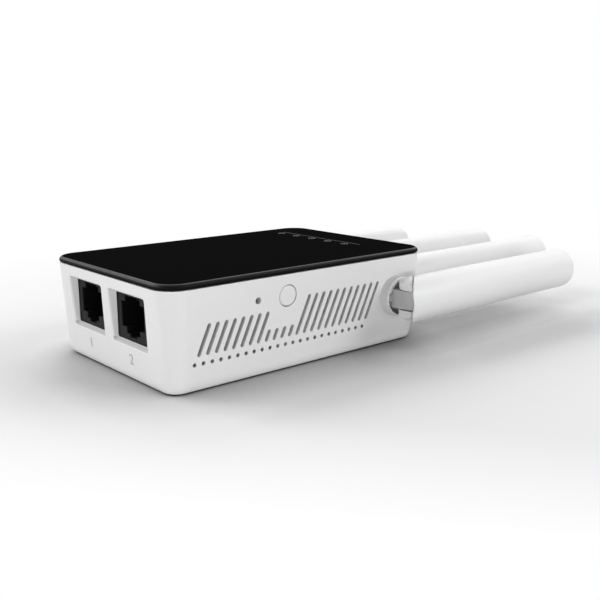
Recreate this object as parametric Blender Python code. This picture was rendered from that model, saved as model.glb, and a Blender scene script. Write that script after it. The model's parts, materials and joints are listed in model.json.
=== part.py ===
"""Wifi range extender: a drafted white box under a glossy lid, with two network sockets, slanted
vents, a push button, a folding mains plug and four antennas that swivel and fold.

Frame: origin at the centre of the underside, +Z up, +Y towards the antennas, +X the vented side
with the button. All lengths are in metres.
"""
import math

import bmesh
import bpy
from mathutils import Matrix, Vector

# Clearances
FIT = 0.0003
PIN_PLAY = 0.00015
OVERSHOOT = 0.004
WELD = 1e-7

# Box and lid
BODY_WIDTH = 0.064
BODY_LENGTH = 0.097
PARTING_HEIGHT = 0.0281
LID_BAND = 0.0014
LID_EDGE_INSET = 0.0011
LID_PLATE = 0.0017
LID_SKIRT_DEPTH = 0.0011
LID_SKIRT_WALL = 0.0012
CORNER_RADIUS = 0.0068
DRAFT_SLOPE = 0.0657
BASE_FILLET = 0.0015
WALL = 0.0020
FLOOR = 0.0020

# Circuit board, hung close under the lid
BOARD_THICKNESS = 0.0016
BOARD_DROP = 0.0019
BOARD_EDGE_GAP = 0.0008

# Screw posts: a tube on the floor takes a post of the lid, with the board between them
POST_FRONT_SET_IN = 0.0170
POST_BEHIND_SOCKETS = 0.0050
POST_REAR_SET_IN = 0.0078
POST_REAR_SET_BACK = 0.0265
POST_RADIUS = 0.0023
POST_SHOULDER_RADIUS = 0.0035
POST_FOOT_HEIGHT = 0.0160
TUBE_RADIUS = 0.0035
SCREW_SHELF = 0.0040
SCREW_RADIUS = 0.00095
SCREW_HEAD_RADIUS = 0.0018
SCREW_HEAD_HEIGHT = 0.0014
SCREW_BITE = 0.0080
SCREW_WELL_PLAY = 0.0004

# Network sockets
SOCKET_X = 0.0115
SOCKET_HEIGHT = 0.0134
SOCKET_WIDTH = 0.0161
SOCKET_DEPTH = 0.0218
SOCKET_SET_BACK = 0.0023
PORT_TOP_WIDTH = 0.0188
PORT_BOTTOM_WIDTH = 0.0176
PORT_LIP = 0.0007
PORT_TOP_LIP = 0.0001
PORT_CORNER = 0.0006
PORT_CHAMFER = 0.0004
PORT_OVERLAP = 0.0003
PLUG_HALF = 0.00598
PLUG_FLOOR = 0.0036
PLUG_SHOULDER = 0.0107
PLUG_ROOF = 0.0124
PLUG_CONTACT_HALF = 0.00397
LATCH_HALF = 0.0035
LATCH_DROP = 0.0017
LATCH_TIP_HALF = 0.0019
LATCH_TIP_DROP = 0.0008
CAVITY_DEPTH = 0.0140
CONTACT_COUNT = 8
CONTACT_PITCH = 0.00102
CONTACT_THICKNESS = 0.00045
CONTACT_REACH = 0.0090
CONTACT_RISE = 0.0036
CONTACT_PLATE = 0.0012

# Vents on both long sides: slanted slots in groups of one height, and a dot under each slot
VENT_SET_BACK = 0.0102
VENT_PITCH = 0.002765
VENT_WIDTH = 0.0012
VENT_SLOPE = 0.41
VENT_LOW = 0.0102
VENT_GROUPS = ((8, 0.0177), (4, 0.0125), (11, 0.0205))
DOT_HEIGHT = 0.00765
DOT_RADIUS = 0.00065
DOT_SET_BACK = 0.00135

# Push button and reset switch on the +X side
BUTTON_SET_BACK = 0.0395
BUTTON_DROP = 0.0064
BUTTON_RADIUS = 0.0029
BUTTON_TRAVEL = 0.0005
BUTTON_FLANGE = 0.0008
BUTTON_FLANGE_DEPTH = 0.0010
BUTTON_STEM_RADIUS = 0.0015
RESET_SET_BACK = 0.0291
RESET_DROP = 0.0063
RESET_HOLE_RADIUS = 0.0010
RESET_TRAVEL = 0.00025
RESET_STAND_OFF = 0.0008
SWITCH_WIDTH = 0.0060
SWITCH_DEPTH = 0.0035
SWITCH_BELOW_AXIS = 0.0030
SWITCH_PLUNGER_RADIUS = 0.0017
SWITCH_PLUNGER_LENGTH = 0.0026
SWITCH_PLUNGER_PROUD = 0.0014

# Status lamps behind the lid
LAMP_COUNT = 5
LAMP_SET_IN = 0.0105
LAMP_PITCH = 0.0080
LAMP_SET_BACK = 0.0155
LAMP_SIZE = (0.0016, 0.0012)
LAMP_HEIGHT = 0.0006
BAFFLE_WIDTH = 0.0040
BAFFLE_END = 0.0030
LAMP_CELL_GAP = 0.0004

# Antenna hinges: a ring boss on the wall, a swivel knuckle in it and a fork on the knuckle's tongue
HINGE_HEIGHT = 0.0158
SIDE_HINGE_SET_BACK = 0.0143
END_HINGE_X = 0.0133
SIDE_BOSS_HEIGHT = 0.0036
END_BOSS_HEIGHT = 0.0048
INNER_LEAN = 45
RING_RADIUS = 0.00615
RING_EDGE = 0.0004
NECK_RADIUS = 0.0046
NECK_RECESS = 0.0008
NECK_FLANGE_LIP = 0.0009
NECK_FLANGE_WIDTH = 0.0012
NECK_BORE_RADIUS = 0.0016
NECK_BORE_WEB = 0.0012
SNAP_SLOT = 0.0014
SNAP_SLOT_DEPTH = 0.0040
STOP_TAB_REACH = 0.0009
STOP_TAB_WIDTH = 0.0022
STOP_TAB_DEPTH = 0.0011
PIN_STAND_OFF = 0.0046
PIN_RADIUS = 0.00125
PIN_COVER = 0.0005
TONGUE_HALF_WIDTH = 0.0040
TONGUE_THICKNESS = 0.0056

# Antennas
ANTENNA_REACH = 0.0816
ANTENNA_RADIUS = 0.00695
ANTENNA_WALL = 0.0012
ANTENNA_TIP_ROUND = 0.0025
ANTENNA_TIP_CROWN = 0.0003
SLEEVE_SHORT_SIDE = 0.0069
MOUTH_SLOPE = 1.157
HOOD_REACH = 0.0070
HOOD_PLAY = 0.0002
FORK_PLUG_END = 0.0150
FORK_CORE_RECESS = 0.0010
RADIATOR_WIDTH = 0.0048
RADIATOR_THICKNESS = 0.0008
RADIATOR_LENGTH = 0.0580
RADIATOR_SEAT = 0.0020

# Folding mains plug in the underside
PLUG_AXIS_Y = 0.0100
PLUG_AXIS_HEIGHT = 0.0044
DRUM_RADIUS = 0.0040
DRUM_HALF_LENGTH = 0.0092
TRUNNION_RADIUS = 0.0015
TRUNNION_LENGTH = 0.0017
BLADE_SPACING = 0.0127
BLADE_WIDTH = 0.00635
BLADE_THICKNESS = 0.0015
BLADE_LENGTH = 0.0170
BLADE_TIP_CHAMFER = 0.0015
BLADE_TAIL_WIDTH = 0.0030
BLADE_SHOULDER = 0.0022
BAY_WALL = 0.0020
BAY_CEILING = 0.0010
CONTACT_STRIP_WIDTH = 0.0040
CONTACT_STRIP_THICKNESS = 0.0005
CONTACT_STRIP_FOOT = 0.0044

# Parts on the board's underside: width, length and height of each block, and where it hangs
SHIELD_CAN = (0.022, 0.014, 0.0025)
SHIELD_CAN_SET_BACK = 0.0220
WIFI_CHIP = (0.012, 0.012, 0.0014)
WIFI_CHIP_SET_IN = 0.0130
WIFI_CHIP_Y = 0.0060
NETWORK_TRANSFORMER = (0.016, 0.007, 0.0060)
NETWORK_TRANSFORMER_GAP = 0.0040
POWER_TRANSFORMER = (0.014, 0.014, 0.0120)
POWER_TRANSFORMER_GAP = 0.0018
POWER_TRANSFORMER_Y = 0.0040
CAPACITOR_X = 0.0060
CAPACITOR_Y = (-0.0045, 0.0050)
CAPACITOR_RADIUS = 0.0040
CAPACITOR_LENGTH = 0.0110
LEAD_RADIUS = 0.0007
LEAD_INSET = 0.0025
LEAD_RUN = 0.0085

# Facets
CORNER_STEPS = 5
EDGE_STEPS = 4
ROUND_STEPS = 20
SMALL_STEPS = 12
SLOT_END_STEPS = 3
LEAD_STEPS = 6
SHARP_ANGLE = 32

# Values that follow from the driving dimensions
RIM_HEIGHT = PARTING_HEIGHT - FIT
LID_TOP = PARTING_HEIGHT + LID_BAND
LID_CEILING = LID_TOP - LID_PLATE
BOARD_TOP = PARTING_HEIGHT - BOARD_DROP
BOARD_BOTTOM = BOARD_TOP - BOARD_THICKNESS
HANG_HEIGHT = BOARD_BOTTOM - FIT
SOCKET_TOP = HANG_HEIGHT
SOCKET_BOTTOM = SOCKET_TOP - SOCKET_HEIGHT
SOCKET_FRONT = SOCKET_SET_BACK - BODY_LENGTH / 2
SOCKET_REAR = SOCKET_FRONT + SOCKET_DEPTH
VENT_FIRST_Y = VENT_SET_BACK - BODY_LENGTH / 2
BUTTON_Y = BUTTON_SET_BACK - BODY_LENGTH / 2
BUTTON_HEIGHT = PARTING_HEIGHT - BUTTON_DROP
RESET_Y = RESET_SET_BACK - BODY_LENGTH / 2
RESET_HEIGHT = PARTING_HEIGHT - RESET_DROP
LAMP_FIRST_X = LAMP_SET_IN - BODY_WIDTH / 2
LAMP_Y = BODY_LENGTH / 2 - LAMP_SET_BACK
SIDE_HINGE_Y = BODY_LENGTH / 2 - SIDE_HINGE_SET_BACK
BORE_RADIUS = NECK_RADIUS + FIT
FORK_REACH = PIN_STAND_OFF - FIT
SLOT_HALF = TONGUE_THICKNESS / 2 + FIT
SLEEVE_BORE = ANTENNA_RADIUS - ANTENNA_WALL
FORK_CORE_RADIUS = SLEEVE_BORE - FIT
MOUTH_GAP = FIT * math.sqrt(2)
PIN_HOLE_END = FORK_CORE_RADIUS - PIN_COVER
SHELF_TOP = POST_FOOT_HEIGHT - FIT
SHELF_BOTTOM = SHELF_TOP - SCREW_SHELF
SCREW_HOLE_RADIUS = SCREW_RADIUS + FIT
BAY_HALF_WIDTH = DRUM_HALF_LENGTH + FIT + BAY_WALL
DRUM_POCKET_TOP = PLUG_AXIS_HEIGHT + DRUM_RADIUS + FIT
BAY_TOP = DRUM_POCKET_TOP + BAY_CEILING
BLADE_END_Y = PLUG_AXIS_Y + DRUM_RADIUS + BLADE_LENGTH


def half_width(height, inset=0.0):
    """Half the box's width at a height, less an inset."""
    return BODY_WIDTH / 2 - DRAFT_SLOPE * (PARTING_HEIGHT - height) - inset


def half_length(height, inset=0.0):
    """Half the box's length at a height, less an inset."""
    return BODY_LENGTH / 2 - DRAFT_SLOPE * (PARTING_HEIGHT - height) - inset


BUTTON_SEAT_X = half_width(BUTTON_HEIGHT - BUTTON_RADIUS - BUTTON_FLANGE, WALL + FIT)


# Helpers that make closed bodies

def arc(centre, radius, start, end, steps):
    """Points of an arc, with both ends, angles in degrees."""
    turns = [math.radians(start + (end - start) * i / steps) for i in range(steps + 1)]
    return [(centre[0] + radius * math.cos(t), centre[1] + radius * math.sin(t)) for t in turns]


def rounded_rectangle(half_x, half_y, radius):
    """Outline of a rectangle with round corners, counter-clockwise."""
    corners = ((1, 1, 0), (-1, 1, 90), (-1, -1, 180), (1, -1, 270))
    outline = []
    for side_x, side_y, start in corners:
        centre = (side_x * (half_x - radius), side_y * (half_y - radius))
        outline += arc(centre, radius, start, start + 90, CORNER_STEPS)
    return outline


def body_loop(height, inset=0.0):
    """The box's plan outline at a height, moved in by an inset."""
    half_x = half_width(height, inset)
    radius = max(CORNER_RADIUS - (BODY_WIDTH / 2 - half_x), BASE_FILLET)
    outline = rounded_rectangle(half_x, half_length(height, inset), radius)
    return [Vector((x, y, height)) for x, y in outline]


def as_object(name, shape):
    """Turn a closed bmesh into an object with its faces pointing out."""
    bmesh.ops.recalc_face_normals(shape, faces=shape.faces)
    mesh = bpy.data.meshes.new(name)
    shape.to_mesh(mesh)
    shape.free()
    made = bpy.data.objects.new(name, mesh)
    bpy.context.collection.objects.link(made)
    return made


def loft(name, loops):
    """Closed body through loops of equal count, capped at both ends."""
    shape = bmesh.new()
    rings = [[shape.verts.new(point) for point in loop] for loop in loops]
    count = len(rings[0])
    for lower, upper in zip(rings, rings[1:]):
        for i in range(count):
            j = (i + 1) % count
            shape.faces.new((lower[i], lower[j], upper[j], upper[i]))
    shape.faces.new(rings[0])
    shape.faces.new(rings[-1])
    return as_object(name, shape)


def on_axis(axis, along, u, v):
    """A point at a distance along an axis, with u and v on the two axes that follow it."""
    return Vector({"x": (along, u, v), "y": (v, along, u), "z": (u, v, along)}[axis])


def prism(name, outline, low, high, axis="z"):
    """Outline of (u, v) points carried along an axis from low to high."""
    ends = ([on_axis(axis, along, u, v) for u, v in outline] for along in (low, high))
    return loft(name, list(ends))


def box(name, low, high):
    """Block between two corners."""
    outline = ((low[0], low[1]), (high[0], low[1]), (high[0], high[1]), (low[0], high[1]))
    return prism(name, outline, low[2], high[2])


def turned(name, profile, axis="z", steps=SMALL_STEPS, centre=(0, 0, 0)):
    """Body turned about an axis from (radius, along) points, closed by flat ends."""
    circle = arc((0, 0), 1, 0, 360, steps)[:-1]
    loops = []
    for radius, along in profile:
        loops.append([on_axis(axis, along, radius * u, radius * v) + Vector(centre) for u, v in circle])
    return loft(name, loops)


def rod(name, radius, low, high, axis="z", centre=(0, 0, 0), steps=SMALL_STEPS):
    """Plain cylinder along an axis."""
    return turned(name, ((radius, low), (radius, high)), axis, steps, centre)


def merged(tools):
    """One object that holds several separate bodies."""
    shape = bmesh.new()
    for tool in tools:
        shape.from_mesh(tool.data)
        bpy.data.objects.remove(tool)
    return as_object("tool", shape)


def combine(target, tools, operation):
    """Apply a boolean of separate tool bodies to a target, weld its seams, and drop the tools."""
    tool = merged(tools)
    step = target.modifiers.new("step", "BOOLEAN")
    step.operation = operation
    step.solver = "EXACT"
    step.object = tool
    graph = bpy.context.evaluated_depsgraph_get()
    result = bpy.data.meshes.new_from_object(target.evaluated_get(graph))
    shape = bmesh.new()
    shape.from_mesh(result)
    bmesh.ops.remove_doubles(shape, verts=shape.verts, dist=WELD)
    shape.to_mesh(result)
    shape.free()
    target.modifiers.clear()
    target.data = result
    bpy.data.objects.remove(tool)
    return target


def cut(target, *tools):
    return combine(target, tools, "DIFFERENCE")


def add(target, *tools):
    return combine(target, tools, "UNION")


def common(target, tool):
    return combine(target, (tool,), "INTERSECT")


def coat(made, colour, roughness, metallic=0.0):
    """Give a piece its own material."""
    material = bpy.data.materials.new(made.name)
    material.use_nodes = True
    shader = material.node_tree.nodes["Principled BSDF"]
    shader.inputs["Base Color"].default_value = (*colour, 1)
    shader.inputs["Roughness"].default_value = roughness
    shader.inputs["Metallic"].default_value = metallic
    made.data.materials.clear()
    made.data.materials.append(material)


def finish(made, colour, roughness, metallic=0.0):
    """Give a piece its own material and smooth its round faces."""
    coat(made, colour, roughness, metallic)
    made.data.shade_smooth()
    made.data.set_sharp_from_angle(angle=math.radians(SHARP_ANGLE))
    return made


WHITE = (0.80, 0.80, 0.81)
GLOSS_BLACK = (0.008, 0.008, 0.009)
SOCKET_BLACK = (0.012, 0.012, 0.013)
BOARD_GREEN = (0.02, 0.16, 0.07)
CHIP_BLACK = (0.02, 0.02, 0.02)
STEEL = (0.60, 0.60, 0.62)
BRASS = (0.72, 0.52, 0.20)
GOLD = (0.83, 0.61, 0.22)
FERRITE = (0.10, 0.09, 0.08)
CAN_BLUE = (0.02, 0.05, 0.16)
LEAD_GREY = (0.15, 0.15, 0.16)
LAMP_CLEAR = (0.85, 0.90, 0.80)


# Main housing

def post_places():
    """Plan places of the four screw posts: two behind the sockets, two in the rear corners."""
    front = (BODY_WIDTH / 2 - POST_FRONT_SET_IN, SOCKET_REAR + POST_BEHIND_SOCKETS)
    rear = (BODY_WIDTH / 2 - POST_REAR_SET_IN, BODY_LENGTH / 2 - POST_REAR_SET_BACK)
    return [(side * x, y) for x, y in (front, rear) for side in (1, -1)]


def housing_shell():
    """Drafted tray: fillet at the base, outer wall up to the rim, inner wall down to the floor."""
    outer = []
    for along, up in arc((BASE_FILLET, BASE_FILLET), -BASE_FILLET, 90, 0, EDGE_STEPS):
        outer.append(body_loop(up, along))
    outer.append(body_loop(RIM_HEIGHT))
    return loft("main_housing", outer + [body_loop(RIM_HEIGHT, WALL), body_loop(FLOOR, WALL)])


def ring_profile(root, face):
    """Radius and height along a ring boss, with a broken outer edge."""
    return ((RING_RADIUS, root), (RING_RADIUS, face - RING_EDGE), (RING_RADIUS - RING_EDGE, face))


def ring_bosses():
    """Ring bosses that carry the antennas, two on the sides and two on the rear end."""
    rings = []
    for side in (1, -1):
        wall = half_width(HINGE_HEIGHT)
        profile = ring_profile(wall - WALL / 2, wall + SIDE_BOSS_HEIGHT)
        mirrored = [(radius, side * along) for radius, along in profile]
        rings.append(turned("ring", mirrored, "x", ROUND_STEPS, (0, SIDE_HINGE_Y, HINGE_HEIGHT)))
        wall = half_length(HINGE_HEIGHT)
        profile = ring_profile(wall - WALL / 2, wall + END_BOSS_HEIGHT)
        rings.append(turned("ring", profile, "y", ROUND_STEPS, (side * END_HINGE_X, 0, HINGE_HEIGHT)))
    return rings


def ring_bores():
    """Bores for the knuckles' necks, right through the bosses and walls."""
    bores = []
    for side in (1, -1):
        wall = half_width(HINGE_HEIGHT)
        ends = (side * (wall - 2 * WALL), side * (wall + SIDE_BOSS_HEIGHT + OVERSHOOT))
        bores.append(rod("bore", BORE_RADIUS, *ends, "x", (0, SIDE_HINGE_Y, HINGE_HEIGHT), ROUND_STEPS))
        wall = half_length(HINGE_HEIGHT)
        ends = (wall - 2 * WALL, wall + END_BOSS_HEIGHT + OVERSHOOT)
        bores.append(rod("bore", BORE_RADIUS, *ends, "y", (side * END_HINGE_X, 0, HINGE_HEIGHT), ROUND_STEPS))
    return bores


def stop_rebates():
    """Half-round rebates in the lower half of each ring, where a knuckle's stop tab travels."""
    radius = NECK_RADIUS + STOP_TAB_REACH + FIT
    shoulder = STOP_TAB_WIDTH / 2 + FIT
    depth = STOP_TAB_DEPTH + 2 * FIT
    lift = math.degrees(math.asin(shoulder / radius))
    below = arc((0, 0), radius, 180 - lift, 360 + lift, ROUND_STEPS // 2)
    cutters = []
    for side in (1, -1):
        face = half_width(HINGE_HEIGHT) + SIDE_BOSS_HEIGHT
        outline = [(SIDE_HINGE_Y + u, HINGE_HEIGHT + v) for u, v in below]
        cutters.append(prism("rebate", outline, side * (face - depth), side * (face + OVERSHOOT), "x"))
        face = half_length(HINGE_HEIGHT) + END_BOSS_HEIGHT
        outline = [(HINGE_HEIGHT + v, side * END_HINGE_X + u) for u, v in below]
        cutters.append(prism("rebate", outline, face - depth, face + OVERSHOOT, "y"))
    return cutters


def vent_cutters():
    """Slanted slots with round ends and the dots below them, through both long walls."""
    lean = math.degrees(math.atan(VENT_SLOPE))
    reach = (half_width(DOT_HEIGHT) - WALL - FIT, half_width(RIM_HEIGHT) + OVERSHOOT)
    tops = [top for count, top in VENT_GROUPS for _ in range(count)]
    cutters = []
    for i, top in enumerate(tops):
        low_y = VENT_FIRST_Y + i * VENT_PITCH
        high_y = low_y + VENT_SLOPE * (top - VENT_LOW)
        slot = arc((high_y, top), VENT_WIDTH / 2, -lean, 180 - lean, SLOT_END_STEPS)
        slot += arc((low_y, VENT_LOW), VENT_WIDTH / 2, 180 - lean, 360 - lean, SLOT_END_STEPS)
        dot = arc((low_y - DOT_SET_BACK, DOT_HEIGHT), DOT_RADIUS, 0, 360, 2 * SLOT_END_STEPS)[:-1]
        for side in (1, -1):
            for outline in (slot, dot):
                cutters.append(prism("vent", outline, side * reach[0], side * reach[1], "x"))
    return cutters


def port_outline(middle, half_top, half_bottom, low, high, grow=0.0):
    """Four-sided outline with round corners about a middle, grown by a margin."""
    corners = ((half_top, high, 1, 1, 0), (-half_top, high, -1, 1, 90),
               (-half_bottom, low, -1, -1, 180), (half_bottom, low, 1, -1, 270))
    outline = []
    for x, z, out_x, out_z, start in corners:
        centre = (middle + x - out_x * PORT_CORNER, z - out_z * PORT_CORNER)
        outline += arc(centre, PORT_CORNER + grow, start, start + 90, SLOT_END_STEPS)
    return outline


def port_cutters():
    """Openings that narrow from the front wall to the sockets, chamfered along the leaning wall."""
    outer = (PORT_TOP_WIDTH / 2, PORT_BOTTOM_WIDTH / 2, SOCKET_BOTTOM - PORT_LIP, SOCKET_TOP + PORT_TOP_LIP)
    half = SOCKET_WIDTH / 2 - PORT_OVERLAP
    inner = (half, half, SOCKET_BOTTOM + PORT_OVERLAP, SOCKET_TOP - PORT_OVERLAP)
    cutters = []
    for side in (1, -1):
        loops = []
        for grow, out in ((2 * PORT_CHAMFER, PORT_CHAMFER), (0.0, -PORT_CHAMFER)):
            outline = port_outline(side * SOCKET_X, *outer, grow)
            loops.append([Vector((x, -half_length(z) - out, z)) for x, z in outline])
        outline = port_outline(side * SOCKET_X, *inner)
        for y in (SOCKET_FRONT - FIT, SOCKET_FRONT):
            loops.append([Vector((x, y, z)) for x, z in outline])
        cutters.append(loft("port", loops))
    return cutters


def socket_pockets():
    """Pockets behind the openings that the sockets' faces sit in."""
    half = SOCKET_WIDTH / 2 + FIT
    ends = ((SOCKET_FRONT - FIT, SOCKET_BOTTOM - FIT), (SOCKET_FRONT + WALL, SOCKET_TOP + FIT))
    middles = (SOCKET_X, -SOCKET_X)
    return [box("seat", (x - half, *ends[0]), (x + half, *ends[1])) for x in middles]


def side_holes():
    """Holes of the button and of the reset switch in the +X wall."""
    reach = (half_width(DOT_HEIGHT) - WALL - FIT, half_width(RIM_HEIGHT) + OVERSHOOT)
    button = (0, BUTTON_Y, BUTTON_HEIGHT)
    return [rod("hole", BUTTON_RADIUS + FIT, *reach, "x", button, ROUND_STEPS),
            rod("hole", RESET_HOLE_RADIUS, *reach, "x", (0, RESET_Y, RESET_HEIGHT))]


def screw_wells():
    """Stepped holes of the tubes: head well, screw hole, and socket for the lid's post."""
    head = SCREW_HEAD_RADIUS + SCREW_WELL_PLAY
    post = POST_RADIUS + FIT
    profile = ((head, -OVERSHOOT), (head, SHELF_BOTTOM), (SCREW_HOLE_RADIUS, SHELF_BOTTOM),
               (SCREW_HOLE_RADIUS, SHELF_TOP), (post, SHELF_TOP), (post, BOARD_TOP))
    return [turned("well", profile, centre=(x, y, 0)) for x, y in post_places()]


def blade_slots():
    """Slots of the underside that the folded blades lie in."""
    half = BLADE_THICKNESS / 2 + FIT
    top = PLUG_AXIS_HEIGHT + BLADE_WIDTH / 2 + FIT
    slots = []
    for side in (1, -1):
        middle = side * BLADE_SPACING / 2
        slots.append(box("slot", (middle - half, PLUG_AXIS_Y + DRUM_RADIUS, -OVERSHOOT),
                         (middle + half, BLADE_END_Y + FIT, top)))
    return slots


def drum_pocket():
    """Pocket of the plug's drum, open below, with bearing holes and windows for the contacts."""
    reach = DRUM_RADIUS + FIT
    half = DRUM_HALF_LENGTH + FIT
    pocket = box("pocket", (-half, PLUG_AXIS_Y - reach, -OVERSHOOT),
                 (half, PLUG_AXIS_Y + reach, DRUM_POCKET_TOP))
    bearing = rod("bearing", TRUNNION_RADIUS + FIT, -BAY_HALF_WIDTH - FIT, BAY_HALF_WIDTH + FIT, "x",
                  (0, PLUG_AXIS_Y, PLUG_AXIS_HEIGHT))
    windows = []
    for side in (1, -1):
        middle = side * BLADE_SPACING / 2
        half_x = CONTACT_STRIP_WIDTH / 2 + FIT
        half_y = CONTACT_STRIP_FOOT / 2 + CONTACT_STRIP_THICKNESS + FIT
        windows.append(box("window", (middle - half_x, PLUG_AXIS_Y - half_y, PLUG_AXIS_HEIGHT),
                           (middle + half_x, PLUG_AXIS_Y + half_y, BAY_TOP + FIT)))
    return pocket, bearing, windows


def main_housing():
    """Tray with its tubes, plug bay and ring bosses, then all of its holes."""
    housing = housing_shell()
    embed = FLOOR / 2
    tube_ends = (embed, BOARD_BOTTOM - FIT)
    tubes = [rod("tube", TUBE_RADIUS, *tube_ends, centre=(x, y, 0)) for x, y in post_places()]
    bay = box("bay", (-BAY_HALF_WIDTH, PLUG_AXIS_Y - DRUM_RADIUS - FIT - BAY_WALL, embed),
              (BAY_HALF_WIDTH, BLADE_END_Y + FIT + BAY_WALL, BAY_TOP))
    for bodies in ((bay,), tubes, ring_bosses()):
        add(housing, *bodies)
    pocket, bearing, windows = drum_pocket()
    for tools in ((pocket,), socket_pockets(), port_cutters(), vent_cutters(), side_holes(), screw_wells(),
                  ring_bores(), blade_slots(), windows, stop_rebates(), (bearing,)):
        cut(housing, *tools)
    return finish(housing, WHITE, 0.38)


# Lid

def top_cover():
    """Black lid: rounded edge, flat top, skirt inside the rim and four posts for the screws."""
    loops = []
    for inset, height in arc((LID_EDGE_INSET, LID_TOP - LID_EDGE_INSET), LID_EDGE_INSET, 90, 180, EDGE_STEPS):
        half_x = BODY_WIDTH / 2 - inset
        outline = rounded_rectangle(half_x, BODY_LENGTH / 2 - inset, CORNER_RADIUS - inset)
        loops.append([Vector((x, y, height)) for x, y in outline])
    skirt_inset = WALL + FIT
    foot = PARTING_HEIGHT - LID_SKIRT_DEPTH
    under = ((PARTING_HEIGHT, 0.0), (PARTING_HEIGHT, skirt_inset), (foot, skirt_inset),
             (foot, skirt_inset + LID_SKIRT_WALL), (LID_CEILING, skirt_inset + LID_SKIRT_WALL))
    for height, inset in under:
        loops.append([Vector((p.x, p.y, height)) for p in body_loop(PARTING_HEIGHT, inset)])
    cover = loft("top_cover", loops)
    embed = LID_TOP - LID_PLATE / 2
    shoulder = BOARD_TOP + FIT
    profile = ((POST_RADIUS, POST_FOOT_HEIGHT), (POST_RADIUS, shoulder),
               (POST_SHOULDER_RADIUS, shoulder), (POST_SHOULDER_RADIUS, embed))
    add(cover, *[turned("post", profile, centre=(x, y, 0)) for x, y in post_places()])
    pilot_top = POST_FOOT_HEIGHT + SCREW_BITE + FIT
    pilot_ends = (SHELF_TOP, pilot_top)
    cut(cover, *[rod("pilot", SCREW_HOLE_RADIUS, *pilot_ends, centre=(x, y, 0)) for x, y in post_places()])
    return finish(cover, GLOSS_BLACK, 0.10)


def screws():
    """Screws that come up through the underside into the lid's posts."""
    head_top = SHELF_BOTTOM - FIT
    profile = ((SCREW_HEAD_RADIUS, head_top - SCREW_HEAD_HEIGHT), (SCREW_HEAD_RADIUS, head_top),
               (SCREW_RADIUS, head_top), (SCREW_RADIUS, POST_FOOT_HEIGHT + SCREW_BITE))
    for number, (x, y) in enumerate(post_places(), 1):
        finish(turned(f"lid_screw_{number}", profile, centre=(x, y, 0)), STEEL, 0.35, 1.0)


# Circuit board and what hangs from it

def circuit_board():
    """Board close under the lid, held on the tubes by the lid's posts, notched for the button."""
    inset = WALL + BOARD_EDGE_GAP
    outline = [(p.x, p.y) for p in body_loop(BOARD_BOTTOM, inset)]
    board = prism("circuit_board", outline, BOARD_BOTTOM, BOARD_TOP)
    reach = (BOARD_BOTTOM - OVERSHOOT, BOARD_TOP + OVERSHOOT)
    holes = [rod("hole", POST_RADIUS + FIT, *reach, centre=(x, y, 0)) for x, y in post_places()]
    half = BUTTON_RADIUS + BUTTON_FLANGE + FIT
    notch_x = BUTTON_SEAT_X - BUTTON_FLANGE_DEPTH - BUTTON_TRAVEL - FIT
    notch = box("notch", (notch_x, BUTTON_Y - half, reach[0]), (BODY_WIDTH / 2, BUTTON_Y + half, reach[1]))
    cut(board, notch, *holes)
    return finish(board, BOARD_GREEN, 0.45)


def hung_block(name, x, y, size, colour, roughness, metallic=0.0):
    """Block that hangs from the board's underside."""
    width, length, height = size
    low = (x - width / 2, y - length / 2, HANG_HEIGHT - height)
    return finish(box(name, low, (x + width / 2, y + length / 2, HANG_HEIGHT)), colour, roughness, metallic)


def board_parts():
    """Larger parts of the board: shield can, chip, the two transformers and the capacitors."""
    hung_block("shield_can", 0, BODY_LENGTH / 2 - SHIELD_CAN_SET_BACK, SHIELD_CAN, STEEL, 0.30, 1.0)
    hung_block("wifi_chip", BODY_WIDTH / 2 - WIFI_CHIP_SET_IN, WIFI_CHIP_Y, WIFI_CHIP, CHIP_BLACK, 0.55)
    behind = SOCKET_REAR + NETWORK_TRANSFORMER_GAP + NETWORK_TRANSFORMER[1] / 2
    hung_block("network_transformer", 0, behind, NETWORK_TRANSFORMER, CHIP_BLACK, 0.50)
    wall = half_width(HANG_HEIGHT - POWER_TRANSFORMER[2], WALL + POWER_TRANSFORMER_GAP)
    beside = POWER_TRANSFORMER[0] / 2 - wall
    hung_block("power_transformer", beside, POWER_TRANSFORMER_Y, POWER_TRANSFORMER, FERRITE, 0.60)
    for number, y in enumerate(CAPACITOR_Y, 1):
        can = rod(f"capacitor_{number}", CAPACITOR_RADIUS, HANG_HEIGHT - CAPACITOR_LENGTH, HANG_HEIGHT,
                  centre=(CAPACITOR_X, y, 0), steps=ROUND_STEPS)
        finish(can, CAN_BLUE, 0.35)


def status_lamps():
    """Lamps on the board and the baffle that keeps their light apart under the lid."""
    low = BOARD_TOP + FIT
    high = LID_CEILING - FIT
    last_x = LAMP_FIRST_X + (LAMP_COUNT - 1) * LAMP_PITCH
    baffle = box("lamp_baffle", (LAMP_FIRST_X - BAFFLE_END, LAMP_Y - BAFFLE_WIDTH / 2, low),
                 (last_x + BAFFLE_END, LAMP_Y + BAFFLE_WIDTH / 2, high))
    cells = []
    for i in range(LAMP_COUNT):
        x = LAMP_FIRST_X + i * LAMP_PITCH
        half_x, half_y = (side / 2 for side in LAMP_SIZE)
        lamp = box(f"status_lamp_{i + 1}", (x - half_x, LAMP_Y - half_y, low),
                   (x + half_x, LAMP_Y + half_y, low + LAMP_HEIGHT))
        finish(lamp, LAMP_CLEAR, 0.25)
        gap = LAMP_CELL_GAP
        cells.append(box("cell", (x - half_x - gap, LAMP_Y - half_y - gap, low - OVERSHOOT),
                         (x + half_x + gap, LAMP_Y + half_y + gap, high + OVERSHOOT)))
    cut(baffle, *cells)
    finish(baffle, WHITE, 0.60)


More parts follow.
